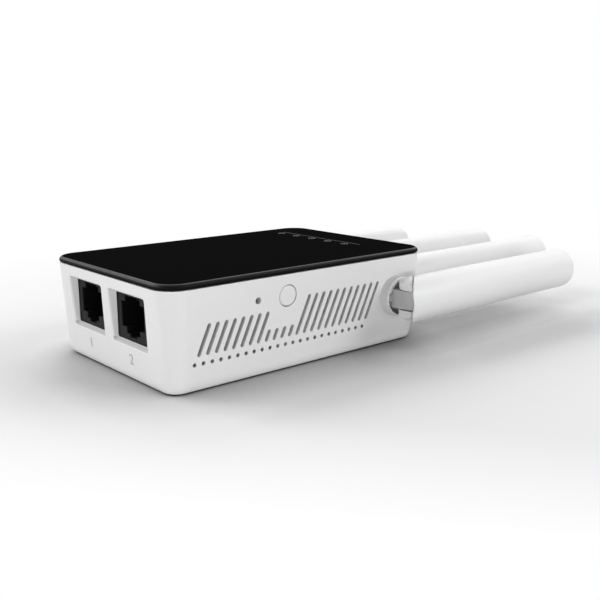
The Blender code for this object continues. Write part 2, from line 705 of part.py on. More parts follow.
def network_socket(name, x):
    """Socket body with the stepped cavity of an eight-way plug, its latch groove below."""
    floor = SOCKET_BOTTOM + PLUG_FLOOR
    half = SOCKET_WIDTH / 2
    body = box(name, (x - half, SOCKET_FRONT, SOCKET_BOTTOM), (x + half, SOCKET_REAR, SOCKET_TOP))
    shoulder = SOCKET_BOTTOM + PLUG_SHOULDER
    latch = floor - LATCH_DROP
    right = ((LATCH_TIP_HALF, latch - LATCH_TIP_DROP), (LATCH_TIP_HALF, latch), (LATCH_HALF, latch),
             (LATCH_HALF, floor), (PLUG_HALF, floor), (PLUG_HALF, shoulder), (PLUG_CONTACT_HALF, shoulder),
             (PLUG_CONTACT_HALF, SOCKET_BOTTOM + PLUG_ROOF))
    outline = [(z, x + u) for u, z in right] + [(z, x - u) for u, z in reversed(right)]
    cut(body, prism("cavity", outline, SOCKET_FRONT - OVERSHOOT, SOCKET_FRONT + CAVITY_DEPTH, "y"))
    return finish(body, SOCKET_BLACK, 0.42)


def contact_comb(name, x):
    """Plate at the back of the cavity with its row of springs that rise towards the mouth."""
    back = SOCKET_FRONT + CAVITY_DEPTH - FIT
    front = back - CONTACT_PLATE
    low = SOCKET_BOTTOM + PLUG_FLOOR + FIT
    high = SOCKET_BOTTOM + PLUG_SHOULDER - FIT
    half = PLUG_HALF - FIT
    comb = box(name, (x - half, front, low), (x + half, back, high))
    root = high - CONTACT_RISE + CONTACT_THICKNESS
    mouth = front - CONTACT_REACH
    embed = front + CONTACT_PLATE / 2
    outline = ((embed, root), (embed, root + CONTACT_THICKNESS), (mouth, root + CONTACT_RISE),
               (mouth, root + CONTACT_RISE - CONTACT_THICKNESS))
    springs = []
    for i in range(CONTACT_COUNT):
        low_x = x + (i - (CONTACT_COUNT - 1) / 2) * CONTACT_PITCH - CONTACT_THICKNESS / 2
        springs.append(prism("spring", outline, low_x, low_x + CONTACT_THICKNESS, "x"))
    add(comb, *springs)
    return finish(comb, GOLD, 0.28, 1.0)


# Push button and reset switch

def switch_body(name, y, height, front_x, travel):
    """Side-acting switch that hangs from the board, with a pocket for its plunger."""
    half = SWITCH_WIDTH / 2
    body = box(name, (front_x - SWITCH_DEPTH, y - half, height - SWITCH_BELOW_AXIS),
               (front_x, y + half, HANG_HEIGHT))
    back_x = front_x - (SWITCH_PLUNGER_LENGTH - SWITCH_PLUNGER_PROUD + travel + FIT)
    ends = (back_x, front_x + OVERSHOOT)
    cut(body, rod("pocket", SWITCH_PLUNGER_RADIUS + FIT, *ends, "x", (0, y, height)))
    return finish(body, CHIP_BLACK, 0.45)


def plunger(name, y, height, front_x):
    """Plunger of a switch, with its origin on its line of travel."""
    tip = front_x + SWITCH_PLUNGER_PROUD
    made = rod(name, SWITCH_PLUNGER_RADIUS, -SWITCH_PLUNGER_LENGTH, 0, "x")
    made.location = (tip, y, height)
    return finish(made, STEEL, 0.40)


def push_button():
    """Flush button cap, held behind the wall by its flange, on the plunger of its switch."""
    wall_out = half_width(BUTTON_HEIGHT)
    wall_in = BUTTON_SEAT_X
    stem_end = wall_in - BUTTON_FLANGE_DEPTH - BUTTON_FLANGE
    flange = BUTTON_RADIUS + BUTTON_FLANGE
    edge = FIT
    profile = ((BUTTON_STEM_RADIUS, stem_end), (BUTTON_STEM_RADIUS, wall_in - BUTTON_FLANGE_DEPTH),
               (flange, wall_in - BUTTON_FLANGE_DEPTH), (flange, wall_in), (BUTTON_RADIUS, wall_in),
               (BUTTON_RADIUS, wall_out - edge), (BUTTON_RADIUS - edge, wall_out))
    cap = turned("push_button", [(r, x - wall_out) for r, x in profile], "x", ROUND_STEPS)
    cap.location = (wall_out, BUTTON_Y, BUTTON_HEIGHT)
    finish(cap, WHITE, 0.32)
    front = stem_end - FIT - SWITCH_PLUNGER_PROUD
    plunger("button_plunger", BUTTON_Y, BUTTON_HEIGHT, front)
    switch_body("button_switch", BUTTON_Y, BUTTON_HEIGHT, front, BUTTON_TRAVEL)


def reset_switch():
    """Switch behind the reset hole, with its plunger just inside the wall."""
    wall_in = half_width(RESET_HEIGHT - SWITCH_PLUNGER_RADIUS) - WALL
    front = wall_in - RESET_STAND_OFF - SWITCH_PLUNGER_PROUD
    plunger("reset_plunger", RESET_Y, RESET_HEIGHT, front)
    switch_body("reset_switch", RESET_Y, RESET_HEIGHT, front, RESET_TRAVEL)


def empty(name, matrix, parent=None):
    """Axis marker that carries moving pieces."""
    made = bpy.data.objects.new(name, None)
    made.parent = parent
    made.matrix_local = matrix
    bpy.context.collection.objects.link(made)
    return made


# Folding mains plug

def plug_carrier(axis):
    """Drum that turns in the underside on its trunnions and carries both blades."""
    end = DRUM_HALF_LENGTH + TRUNNION_LENGTH
    half = DRUM_HALF_LENGTH
    profile = ((TRUNNION_RADIUS, -end), (TRUNNION_RADIUS, -half), (DRUM_RADIUS, -half),
               (DRUM_RADIUS, half), (TRUNNION_RADIUS, half), (TRUNNION_RADIUS, end))
    drum = turned("plug_carrier", profile, "x", ROUND_STEPS)
    tails = []
    roots = []
    thin = BLADE_THICKNESS / 2 + FIT
    tail = BLADE_TAIL_WIDTH / 2 + FIT
    wide = BLADE_WIDTH / 2 + FIT
    for side in (1, -1):
        middle = side * BLADE_SPACING / 2
        tails.append(box("slot", (middle - thin, -DRUM_RADIUS - OVERSHOOT, -tail),
                         (middle + thin, BLADE_SHOULDER, tail)))
        roots.append(box("slot", (middle - thin, BLADE_SHOULDER - FIT, -wide),
                         (middle + thin, DRUM_RADIUS + OVERSHOOT, wide)))
    cut(drum, *tails)
    cut(drum, *roots)
    drum.parent = axis
    return finish(drum, WHITE, 0.45)


def plug_blade(name, side, axis):
    """Flat blade with a chamfered tip and a narrow tail that reaches through the drum."""
    half = BLADE_WIDTH / 2
    tail = BLADE_TAIL_WIDTH / 2
    end = DRUM_RADIUS + BLADE_LENGTH
    back = -(DRUM_RADIUS - FIT)
    right = ((back, tail), (BLADE_SHOULDER, tail), (BLADE_SHOULDER, half),
             (end - BLADE_TIP_CHAMFER, half), (end, half - BLADE_TIP_CHAMFER))
    outline = list(right) + [(y, -z) for y, z in reversed(right)]
    middle = side * BLADE_SPACING / 2
    blade = prism(name, outline, middle - BLADE_THICKNESS / 2, middle + BLADE_THICKNESS / 2, "x")
    blade.parent = axis
    return finish(blade, BRASS, 0.30, 1.0)


def mains_contact(name, side):
    """Strip that hangs from the board, its foot just over the drum where a blade's tail comes up."""
    foot_low = PLUG_AXIS_HEIGHT + DRUM_RADIUS + FIT
    half = CONTACT_STRIP_FOOT / 2
    thick = CONTACT_STRIP_THICKNESS
    low_y = PLUG_AXIS_Y - half
    high_y = PLUG_AXIS_Y + half
    outline = ((low_y, foot_low), (high_y + thick, foot_low), (high_y + thick, HANG_HEIGHT),
               (high_y, HANG_HEIGHT), (high_y, foot_low + thick), (low_y, foot_low + thick))
    middle = side * BLADE_SPACING / 2
    strip = prism(name, outline, middle - CONTACT_STRIP_WIDTH / 2, middle + CONTACT_STRIP_WIDTH / 2, "x")
    return finish(strip, BRASS, 0.35, 1.0)


def mains_plug():
    """Plug that folds flush into the underside, and the strips that feed the board from its tails."""
    axis = empty("plug_axis", Matrix.Translation((0, PLUG_AXIS_Y, PLUG_AXIS_HEIGHT)))
    plug_carrier(axis)
    for number, side in enumerate((1, -1), 1):
        plug_blade(f"plug_blade_{number}", side, axis)
        mains_contact(f"mains_contact_{number}", side)


# Antennas: every shape below has the pin at its origin, the boss axis along x and the pin along z

def mouth_line(shift=0.0):
    """Slanted mouth of the sleeve in plan, from the hood's tip on its long side to its short side."""
    high = FORK_REACH + FIT + shift
    return [(-HOOD_REACH, -HOOD_REACH / MOUTH_SLOPE + shift), (0, shift), (SLEEVE_SHORT_SIDE, high)]


def knuckle(name, neck_length):
    """Swivel knuckle: hollow neck with a snap flange inside the wall, stop tab, and the tongue."""
    ring_face = -PIN_STAND_OFF
    neck_end = ring_face - NECK_RECESS
    flange_out = ring_face - neck_length
    flange_in = flange_out - NECK_FLANGE_WIDTH
    flange = NECK_RADIUS + NECK_FLANGE_LIP
    profile = ((flange - NECK_FLANGE_LIP / 2, flange_in), (flange, flange_in + NECK_FLANGE_LIP / 2),
               (flange, flange_out), (NECK_RADIUS, flange_out), (NECK_RADIUS, neck_end))
    made = turned(name, profile, "x", ROUND_STEPS)
    tongue = [(neck_end - NECK_BORE_WEB / 2, -TONGUE_HALF_WIDTH)]
    tongue += arc((0, 0), TONGUE_HALF_WIDTH, -90, 90, SMALL_STEPS)
    tongue += [(neck_end - NECK_BORE_WEB / 2, TONGUE_HALF_WIDTH)]
    half = TONGUE_THICKNESS / 2
    add(made, prism("tongue", tongue, -half, half))
    tab_out = ring_face - FIT
    tab = box("tab", (tab_out - STOP_TAB_DEPTH, -NECK_RADIUS - STOP_TAB_REACH, -STOP_TAB_WIDTH / 2),
              (tab_out, -NECK_RADIUS + STOP_TAB_REACH, STOP_TAB_WIDTH / 2))
    add(made, tab)
    bore = rod("bore", NECK_BORE_RADIUS, flange_in - OVERSHOOT, neck_end - NECK_BORE_WEB, "x")
    hole = rod("hole", PIN_RADIUS + PIN_PLAY, -ANTENNA_RADIUS, ANTENNA_RADIUS)
    cut(made, bore, hole)
    wide = flange + OVERSHOOT
    cut(made, box("snap", (flange_in - OVERSHOOT, -wide, -SNAP_SLOT / 2),
                  (flange_in + SNAP_SLOT_DEPTH, wide, SNAP_SLOT / 2)))
    return finish(made, WHITE, 0.40)


def fork(name):
    """Antenna root: round cheeks outside the sleeve's mouth, a core in it, a slot for the tongue."""
    reach = FORK_REACH
    far = 2 * ANTENNA_RADIUS
    cheeks = arc((0, 0), ANTENNA_RADIUS, -45, 0, EDGE_STEPS) + [(ANTENNA_RADIUS, SLEEVE_SHORT_SIDE)]
    made = turned(name, cheeks, "x", ROUND_STEPS)
    _, bend, high = mouth_line(MOUTH_GAP)
    slope = (high[1] - bend[1]) / (high[0] - bend[0])
    outside = [(-far, bend[1] - far / MOUTH_SLOPE), bend, (far, bend[1] + slope * far),
               (far, 2 * far), (-far, 2 * far)]
    common(made, prism("outside", outside, -far, far))
    core_start = FORK_CORE_RECESS - reach
    add(made, rod("core", FORK_CORE_RADIUS, core_start, FORK_PLUG_END, "x", steps=ROUND_STEPS))
    end = FORK_PLUG_END + OVERSHOOT
    step = SLEEVE_SHORT_SIDE + FIT
    plan = [(-reach, -reach), (far - 2 * reach, -far), (end, -far), (end, far), (step, far), (step, reach)]
    plan += arc((0, 0), reach, 90, 180, SMALL_STEPS // 2)
    common(made, prism("plan", plan, -far, far))
    side = TONGUE_HALF_WIDTH + FIT
    cut(made, box("slot", (-far, -side - FIT, -SLOT_HALF), (side, far, SLOT_HALF)))
    hole = rod("hole", PIN_RADIUS + PIN_PLAY, -PIN_HOLE_END, PIN_HOLE_END)
    half = RADIATOR_WIDTH / 2 + FIT
    thin = RADIATOR_THICKNESS / 2 + FIT
    slit = box("slit", (FORK_PLUG_END - RADIATOR_SEAT - FIT, -half, -thin), (end, half, thin))
    cut(made, hole, slit)
    return finish(made, WHITE, 0.40)


def sleeve(name):
    """Tube of the antenna: slanted mouth with a thin hood round the ring, crowned tip with a round edge."""
    edge_end = ANTENNA_REACH - ANTENNA_TIP_CROWN
    flat = ANTENNA_RADIUS - ANTENNA_TIP_ROUND
    round_edge = arc((edge_end - ANTENNA_TIP_ROUND, flat), ANTENNA_TIP_ROUND, 90, 0, EDGE_STEPS)
    far = 2 * ANTENNA_RADIUS
    outer = [(ANTENNA_RADIUS, -far)] + [(r, x) for x, r in round_edge]
    outer += [(flat / 2, ANTENNA_REACH - ANTENNA_TIP_CROWN / 4), (flat / 6, ANTENNA_REACH)]
    made = turned(name, outer, "x", ROUND_STEPS)
    beyond = far + OVERSHOOT
    cut(made, rod("bore", SLEEVE_BORE, -beyond, edge_end - ANTENNA_WALL, "x", steps=ROUND_STEPS))
    cut(made, rod("hood", RING_RADIUS + HOOD_PLAY, -beyond, -FORK_REACH, "x", steps=ROUND_STEPS))
    away = [(-beyond, -far), (-HOOD_REACH, -far)] + mouth_line() + [(SLEEVE_SHORT_SIDE, far), (-beyond, far)]
    cut(made, prism("mouth", away, -far, far))
    return finish(made, WHITE, 0.36)


def radiator(name):
    """Flat radiator strip that stands in the slit of the fork's plug."""
    low = FORK_PLUG_END - RADIATOR_SEAT
    half = RADIATOR_WIDTH / 2
    thin = RADIATOR_THICKNESS / 2
    return finish(box(name, (low, -half, -thin), (low + RADIATOR_LENGTH, half, thin)), BOARD_GREEN, 0.45)


def hinge_pin(name):
    """Steel pin through the tongue, its ends in blind holes of the fork."""
    half = PIN_HOLE_END - FIT
    return finish(rod(name, PIN_RADIUS, -half, half), STEEL, 0.30, 1.0)


def hinge_sites():
    """Each antenna's name, boss and pin frame, neck length and fold angle.

    The outer ones are folded back, and the inner ones are straight, turned to fold up and inwards.
    """
    inside = HINGE_HEIGHT - NECK_RADIUS - NECK_FLANGE_LIP
    side_face = half_width(HINGE_HEIGHT) + SIDE_BOSS_HEIGHT
    side_neck = side_face - (half_width(inside) - WALL - FIT)
    end_face = half_length(HINGE_HEIGHT) + END_BOSS_HEIGHT
    end_neck = end_face - (half_length(inside) - WALL - FIT)
    right = Matrix.Translation((side_face + PIN_STAND_OFF, SIDE_HINGE_Y, HINGE_HEIGHT))
    left = Matrix.Rotation(math.pi, 4, "Y") @ Matrix.Translation((0, 0, -2 * HINGE_HEIGHT)) @ right
    upright = Matrix(((0, 0, 1, 0), (1, 0, 0, 0), (0, 1, 0, 0), (0, 0, 0, 1)))
    sites = [("right_outer", right, side_neck, 90), ("left_outer", left, side_neck, 90)]
    for label, side in (("right_inner", 1), ("left_inner", -1)):
        place = Matrix.Translation((side * END_HINGE_X, end_face + PIN_STAND_OFF, HINGE_HEIGHT))
        lean = Matrix.Rotation(math.radians(-side * INNER_LEAN), 4, "Y")
        sites.append((label, place @ lean @ upright, end_neck, 0))
    return sites


def antennas():
    makers = (("fork", fork), ("sleeve", sleeve), ("radiator", radiator), ("hinge_pin", hinge_pin))
    for label, place, neck_length, angle in hinge_sites():
        swivel = empty(f"{label}_swivel", place)
        knuckle(f"{label}_knuckle", neck_length).parent = swivel
        fold = empty(f"{label}_fold", Matrix.Rotation(math.radians(angle), 4, "Z"), swivel)
        for piece, maker in makers:
            maker(f"{label}_{piece}").parent = fold


# Leads from the board to the hinges

def bezier(points, steps):
    """Points along a smooth cubic curve with four control points."""
    route = []
    for i in range(steps + 1):
        t = i / steps
        weights = ((1 - t) ** 3, 3 * t * (1 - t) ** 2, 3 * t * t * (1 - t), t ** 3)
        route.append(sum((w * Vector(p) for w, p in zip(weights, points)), Vector()))
    return route


def antenna_lead(name, start, inward):
    """Coaxial lead from inside a neck's bore, in along its axis and up to the board."""
    foot = start + inward * LEAD_RUN
    top = Vector((foot.x, foot.y, HANG_HEIGHT))
    curve = bpy.data.curves.new(name, "CURVE")
    curve.dimensions = "3D"
    curve.bevel_depth = LEAD_RADIUS
    curve.bevel_resolution = 2
    curve.use_fill_caps = True
    route = bezier((start, foot, foot, top), LEAD_STEPS)
    spline = curve.splines.new("POLY")
    spline.points.add(len(route) - 1)
    for point, place in zip(spline.points, route):
        point.co = (*place, 1)
    lead = bpy.data.objects.new(name, curve)
    bpy.context.collection.objects.link(lead)
    coat(lead, LEAD_GREY, 0.5)


def antenna_leads():
    for label, place, neck_length, _ in hinge_sites():
        inward = -(place.to_3x3() @ Vector((1, 0, 0)))
        tail = PIN_STAND_OFF + neck_length + NECK_FLANGE_WIDTH - LEAD_INSET
        antenna_lead(f"{label}_lead", place.to_translation() + inward * tail, inward)


def main():
    for old in list(bpy.data.objects):
        bpy.data.objects.remove(old)
    main_housing()
    top_cover()
    screws()
    circuit_board()
    board_parts()
    status_lamps()
    for number, side in enumerate((1, -1), 1):
        network_socket(f"network_socket_{number}", side * SOCKET_X)
        contact_comb(f"socket_contacts_{number}", side * SOCKET_X)
    push_button()
    reset_switch()
    mains_plug()
    antennas()
    antenna_leads()
    bpy.context.view_layer.update()


main()
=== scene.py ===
"""Looks of the wifi range extender: finishes, moulded edges, smooth lid, tubes and button, studio, camera.

Lengths are in metres in the part's own frame: origin under the middle of the box, +Z up, +Y towards
the antennas, +X the side with the button. Where a name below holds two ends of a ramp, a mask is zero at
the first and one at the second. Noise is counted in cells per metre.
"""
import json
import math

import bmesh
import bpy
import numpy as np
from mathutils import Matrix, Vector

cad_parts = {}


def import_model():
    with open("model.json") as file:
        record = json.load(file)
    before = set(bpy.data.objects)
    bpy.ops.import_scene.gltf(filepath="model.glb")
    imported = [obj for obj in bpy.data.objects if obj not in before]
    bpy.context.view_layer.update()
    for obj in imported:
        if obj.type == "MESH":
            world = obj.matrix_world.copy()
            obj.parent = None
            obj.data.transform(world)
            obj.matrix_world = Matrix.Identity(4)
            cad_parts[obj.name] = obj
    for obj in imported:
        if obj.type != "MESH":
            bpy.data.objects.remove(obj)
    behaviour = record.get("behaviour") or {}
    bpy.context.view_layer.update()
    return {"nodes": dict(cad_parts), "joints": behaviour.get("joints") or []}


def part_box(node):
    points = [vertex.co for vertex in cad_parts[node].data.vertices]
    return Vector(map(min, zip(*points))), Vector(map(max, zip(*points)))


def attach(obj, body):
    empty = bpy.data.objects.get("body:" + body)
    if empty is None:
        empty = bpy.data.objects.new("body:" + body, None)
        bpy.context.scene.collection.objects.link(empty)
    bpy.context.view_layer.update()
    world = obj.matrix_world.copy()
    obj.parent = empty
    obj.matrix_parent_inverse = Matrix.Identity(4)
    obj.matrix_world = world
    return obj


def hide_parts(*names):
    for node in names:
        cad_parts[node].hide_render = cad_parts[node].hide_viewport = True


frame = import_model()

NODES = frame["nodes"]
PINS = {joint["name"]: np.array(joint["pos_m"]) for joint in frame["joints"] if joint.get("pos_m")}
ANTENNAS = ("right_outer", "left_outer", "right_inner", "left_inner")

# Camera, solved on the box's edges in the 600 by 600 picture
CAMERA_PLACE = (0.19804, -0.14928, 0.06992)
CAMERA_AZIMUTH = 49.017
CAMERA_ELEVATION = 12.798
CAMERA_CLIP = 0.005
FOCAL_PIXELS = 807.39
PICTURE_PIXELS = 600
SENSOR_MM = 36.0

# Merged points, flat and sharp angles in degrees, and rounds of the moulded edges
POLE_GAP = 1e-7
LOOSE_GAP = 1e-6
FLAT_ANGLE = 0.8
SHARP_ANGLE = 34
EDGE_SEGMENTS = 2
FLAT_FACE_WEIGHT = 100
HOUSING_EDGE = 0.00018
SOCKET_EDGE = 0.00015
KNUCKLE_EDGE = 0.00020
FORK_EDGE = 0.00025

# Lid
LID_CORNER = 0.0068
LID_PARTING = 0.0281
LID_EDGE = 0.0011
LID_FOOT_ROUND = 0.0002
LID_INSETS_UNDER = (0.0062, 0.0022, LID_FOOT_ROUND)
LID_INSETS_TOP = (0.0016, 0.0030, 0.0062)
LID_CORNER_STEPS = 24
LID_EDGE_STEPS = 8
LID_SHARP = 60

# Lid's finish, by depth under its top and by distance from its front edge
LID_HAZE = 70.0
LID_FILM = (0.0065, 0.0065, 0.007)
LID_FILM_ROUGHNESS = 0.42
LID_FILM_GLOSS = 0.10
LID_BARE = (0.006, 0.006, 0.0065)
LID_BARE_ROUGHNESS = 0.40
LID_BARE_GLOSS = 0.08
LID_TOP_DEPTH = (0.00004, 0.00001)
LID_CREST_DEPTH = (0.0012, 0.0001)
LID_FRONT = (0.0016, 0.0008)
LID_BARE_LEAST = 0.08

# Print on the lid: a line behind five rings, each with a dot in it
PRINT_INK = (0.22, 0.22, 0.225)
PRINT_DEPTH = (0.0002, 0.0001)
MARK_LINE_Y = 0.0352
MARK_LINE_ENDS = (-0.0235, 0.0154)
MARK_LINE_EDGE = (0.00020, 0.00010)
MARK_LINE_TAPER = 0.0004
MARK_Y = 0.0328
MARK_FIRST_X = -0.0215
MARK_PITCH = 0.0080
MARK_COUNT = 5
MARK_RADIUS = 0.00105
MARK_RING_EDGE = (0.00026, 0.00014)
MARK_DOT_EDGE = (0.00045, 0.00030)

# Box walls, and the round at their foot
DRAFT = 0.0657
PARTING_HALF_WIDTH = 0.0320
PARTING_HALF_LENGTH = 0.0485
BASE_ROUND = 0.0015
BASE_ROUND_GROWTH = 2.0
SAME_PLACE = 0.00002

# Where shade is painted into the box's white, darkening it: faces inside its walls, port sills and the sides
# of its hinge rings
RECESS_DEPTH = (0.00012, 0.0005)
RECESS_FLOOR = (0.0033, 0.0041)
VENT_REACH = (0.0410, 0.0405)
VENT_PAINTED_SHADE = 0.84
DOT_TOP = (0.0090, 0.0086)
DOT_PAINTED_SHADE = 0.55
PORT_REACH = (0.0220, 0.0215)
PORT_PAINTED_SHADE = 0.67
SILL_DEPTH = (0.00003, 0.00012)
SILL_HEIGHT = (0.0003, 0.0)
SILL_PAINTED_SHADE = 0.50
RISE_ABOVE = (0.00010, 0.00025)
SIDE_RING_FACE = (0.03455, 0.03435)
END_RING_FACE = (0.05205, 0.05185)
RING_PAINTED_SHADE = 0.80

# Moulded plastics: tone, roughness and grain
SHELL_WHITE = (0.80, 0.40, 5200.0)
TUBE_WHITE = (0.86, 0.36, 3800.0)
HINGE_GREY = (0.50, 0.45, 5200.0)
FLOW_CLOUDS = 45.0
FLOW_DULL = (0.985, 0.985, 0.988)
FLOW_CLEAR = (1.0, 1.0, 1.004)
FLOW_GLOSS = 0.06
GRAIN_GLOSS = 0.12
GRAIN_RELIEF = 0.000012
NOISE_MIDDLE = 0.5
NOISE_SPAN = (0.3, 0.7)

# Network sockets, with shade painted into their colour: darker from a little behind their faces
SOCKET_GRAIN = 2600.0
SOCKET_ROUGHNESS = 0.60
SOCKET_SATIN = ((0.017, 0.017, 0.018), (0.022, 0.022, 0.023))
SOCKET_CAVITY_PAINTED_SHADE = (0.0022, 0.0022, 0.0023)
SOCKET_MOUTH = (0.0001, 0.0006)

# Plain finishes: low and high colour, noise, roughness, metallic, height of the noise
PLAIN_GLOSS = 0.16
PLAIN_RELIEF = 0.00001
METAL_RELIEF = 0.000004
PLAIN_FINISHES = {
    "print_grey": ((0.46, 0.46, 0.47), (0.52, 0.52, 0.53), 3000.0, 0.55, 0.0, PLAIN_RELIEF),
    "gold_plate": ((0.60, 0.42, 0.14), (0.68, 0.50, 0.20), 900.0, 0.26, 1.0, METAL_RELIEF),
    "bright_brass": ((0.66, 0.47, 0.17), (0.76, 0.56, 0.24), 1200.0, 0.30, 1.0, METAL_RELIEF),
    "plain_steel": ((0.54, 0.54, 0.56), (0.64, 0.64, 0.66), 1500.0, 0.34, 1.0, METAL_RELIEF),
    "solder_mask": ((0.012, 0.11, 0.045), (0.03, 0.19, 0.085), 350.0, 0.42, 0.0, PLAIN_RELIEF),
    "moulded_chip": ((0.014, 0.014, 0.015), (0.026, 0.026, 0.027), 4000.0, 0.58, 0.0, PLAIN_RELIEF),
    "ferrite": ((0.075, 0.068, 0.062), (0.13, 0.12, 0.105), 2400.0, 0.66, 0.0, PLAIN_RELIEF),
    "shrink_sleeve": ((0.015, 0.04, 0.13), (0.025, 0.06, 0.18), 700.0, 0.32, 0.0, PLAIN_RELIEF),
    "lamp_lens": ((0.78, 0.84, 0.72), (0.90, 0.94, 0.86), 2500.0, 0.25, 0.0, PLAIN_RELIEF),
    "lead_jacket": ((0.12, 0.12, 0.13), (0.18, 0.18, 0.19), 3000.0, 0.55, 0.0, PLAIN_RELIEF),
}

# Port numbers
NUMBER_SIZE = 0.0042
NUMBER_RELIEF = 0.00012
NUMBER_HEIGHT = 0.0062
NUMBER_SHARP = 30

# Antenna tubes
TUBE_RADIUS = 0.006949
TUBE_WALL = 0.0012
TUBE_REACH = 0.0816
TUBE_TIP_ROUND = 0.0025
TUBE_TIP_CROWN = 0.0003
TUBE_LIP = 0.00022
TUBE_STEPS = 96
TUBE_LIP_STEPS = 4
TUBE_TIP_STEPS = 10
TUBE_PARTS = (0.25, 0.5, 0.75)
TUBE_CROWN_PARTS = (0.8, 0.6, 0.4, 0.2, 0.0)
TUBE_SHARP = 50
HOOD_REACH = 0.0070
HOOD_RADIUS = 0.00635
HOOD_FLOOR = 0.0043
MOUTH_SLOPE = 1.157
MOUTH_SHORT_SIDE = 0.0069
MOUTH_SHORT_WIDTH = 0.0046
INNER_LEAN = math.sqrt(0.5)
SHORT_SIDES = {
    "right_outer": (-1.0, 0.0, 0.0),
    "left_outer": (1.0, 0.0, 0.0),
    "right_inner": (-INNER_LEAN, 0.0, INNER_LEAN),
    "left_inner": (INNER_LEAN, 0.0, INNER_LEAN),
}

# What a tube row's depth is measured from: the pin, the slanted mouth or the hood's floor
FROM_PIN = 0
FROM_MOUTH = 1
FROM_HOOD = 2

# Push button
BUTTON_RADIUS = 0.0029
BUTTON_EDGE = 0.00025
BUTTON_STEM = 0.0015
BUTTON_SEAT = 0.0026
BUTTON_FLANGE = 0.001
BUTTON_STEPS = 64
BUTTON_EDGE_STEPS = 5
BUTTON_PARTS = (0.8, 0.5, 0.2, 0.0)
BUTTON_SHARP = 40

# Whether a row of the button leans with the wall
UPRIGHT = 0
LEANING = 1

# Lamps: degrees from +X and above the floor, metres from the origin, width and height, watts
LIGHT_TARGET = (0.0, 0.01, 0.01)
RING_ELEVATION = 34
RING_REACH = 1.0
RING_SIZE = (0.5, 0.5)
RING_POWERS = ((30, 3.28), (60, 1.55), (90, 1.32), (120, 1.00), (150, 2.68), (210, 4.62), (240, 2.48))
STRIPS = (
    ("side_strip", 350, 4, 1.0, (0.5, 0.11), 2.27),
    ("near_strip", 295, 6, 0.33, (0.20, 0.06), 0.30),
)
WORLD_LIGHT = 0.0
SEEN_BY = ("Is Camera Ray", "Is Glossy Ray", "Is Transmission Ray")

# Floor: its fade to white, and the reach of the shade that the object leaves on it, which is narrower
# under the tubes and on the side away from the button
FLOOR_HALF = 6.0
FLOOR_CELLS = 12
FLOOR_DROP = 0.0003
FLOOR_CLOUDS = 6.0
FLOOR_PAPER = (0.92, 0.94)
FLOOR_BOUNCE = (0.61, 0.63)
FADE_CENTRE = (0.03, 0.02)
FADE_FAR = (0.095, 0.25)
FADE_AZIMUTH = -51.8
FADE_REACH = (0.062, 0.108)
CONTACT_SAMPLES = 8
CONTACT_REACH = 0.022
CONTACT_REACH_NARROW = 0.0122
TUBES_BEGIN = (0.015, 0.040)
FAR_SIDE_BEGIN = (0.004, 0.036)


# Meshes from numpy grids

def quarter_turn(steps):
    """Angles of a quarter circle in even steps."""
    return np.linspace(0, np.pi / 2, steps + 1)


def full_turn(steps):
    """Angles of a whole circle in even steps, without the last, which is the first again."""
    return np.linspace(0, 2 * np.pi, steps, endpoint=False)


def rows(*columns):
    """Rows of a profile from its columns, each an array or one number for all the rows."""
    return np.stack(np.broadcast_arrays(*columns), axis=-1).reshape(-1, len(columns))


def grid_faces(row_count, columns):
    """Quads of a grid of points whose columns close on themselves, as an array of corner indices."""
    row, column = np.meshgrid(np.arange(row_count - 1), np.arange(columns), indexing="ij")
    after = (column + 1) % columns
    here = row * columns
    above = here + columns
    corners = (here + column, here + after, above + after, above + column)
    return np.stack(corners, axis=-1).reshape(-1, 4)


def surface(name, points, body, replaced, sharp):
    """Closed piece from a grid of points (rows, columns, 3) whose first and last rows shut on themselves."""
    row_count, columns = points.shape[:2]
    mesh = bpy.data.meshes.new(name)
    mesh.from_pydata(points.reshape(-1, 3).tolist(), [], grid_faces(row_count, columns).tolist())
    return settle(name, mesh, body, replaced, sharp)


def settle(name, mesh, body, replaced, sharp):
    """Merge a mesh's poles and seams, turn its faces out, smooth it and let it stand for a node."""
    shape = bmesh.new()
    shape.from_mesh(mesh)
    bmesh.ops.remove_doubles(shape, verts=shape.verts, dist=POLE_GAP)
    bmesh.ops.recalc_face_normals(shape, faces=shape.faces)
    shape.to_mesh(mesh)
    shape.free()
    mesh.shade_smooth()
    mesh.set_sharp_from_angle(angle=math.radians(sharp))
    piece = bpy.data.objects.new(name, mesh)
    bpy.context.scene.collection.objects.link(piece)
    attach(piece, body)
    if replaced:
        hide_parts(replaced)
    return piece


def soften_base(mesh):
    """Make the round of the box's lower edge taller, so that it runs more gently into the drafted wall.

    A point's inset is its depth inside the parting outline, less the draft at its height. The height of
    each point of the round is multiplied by one factor while its inset stays, so a quarter ellipse is left.
    """
    points = np.empty(len(mesh.vertices) * 3)
    mesh.vertices.foreach_get("co", points)
    points = points.reshape(-1, 3)
    plan = points[:, :2]
    height = points[:, 2]
    past = np.abs(plan) - (PARTING_HALF_WIDTH - LID_CORNER, PARTING_HALF_LENGTH - LID_CORNER)
    past = np.maximum(past, 0) * np.sign(plan)
    reach = np.linalg.norm(past, axis=1)
    inset = LID_CORNER - reach - (LID_PARTING - height) * DRAFT
    rounded = (height < BASE_ROUND + SAME_PLACE) & (inset < BASE_ROUND + SAME_PLACE)
    grown_height = height * BASE_ROUND_GROWTH
    grown_reach = LID_CORNER - inset - (LID_PARTING - grown_height) * DRAFT
    shift = np.where(rounded, grown_reach - reach, 0.0)
    plan += past / np.maximum(reach, SAME_PLACE)[:, None] * shift[:, None]
    points[:, 2] = np.where(rounded, grown_height, height)
    mesh.vertices.foreach_set("co", points.ravel())


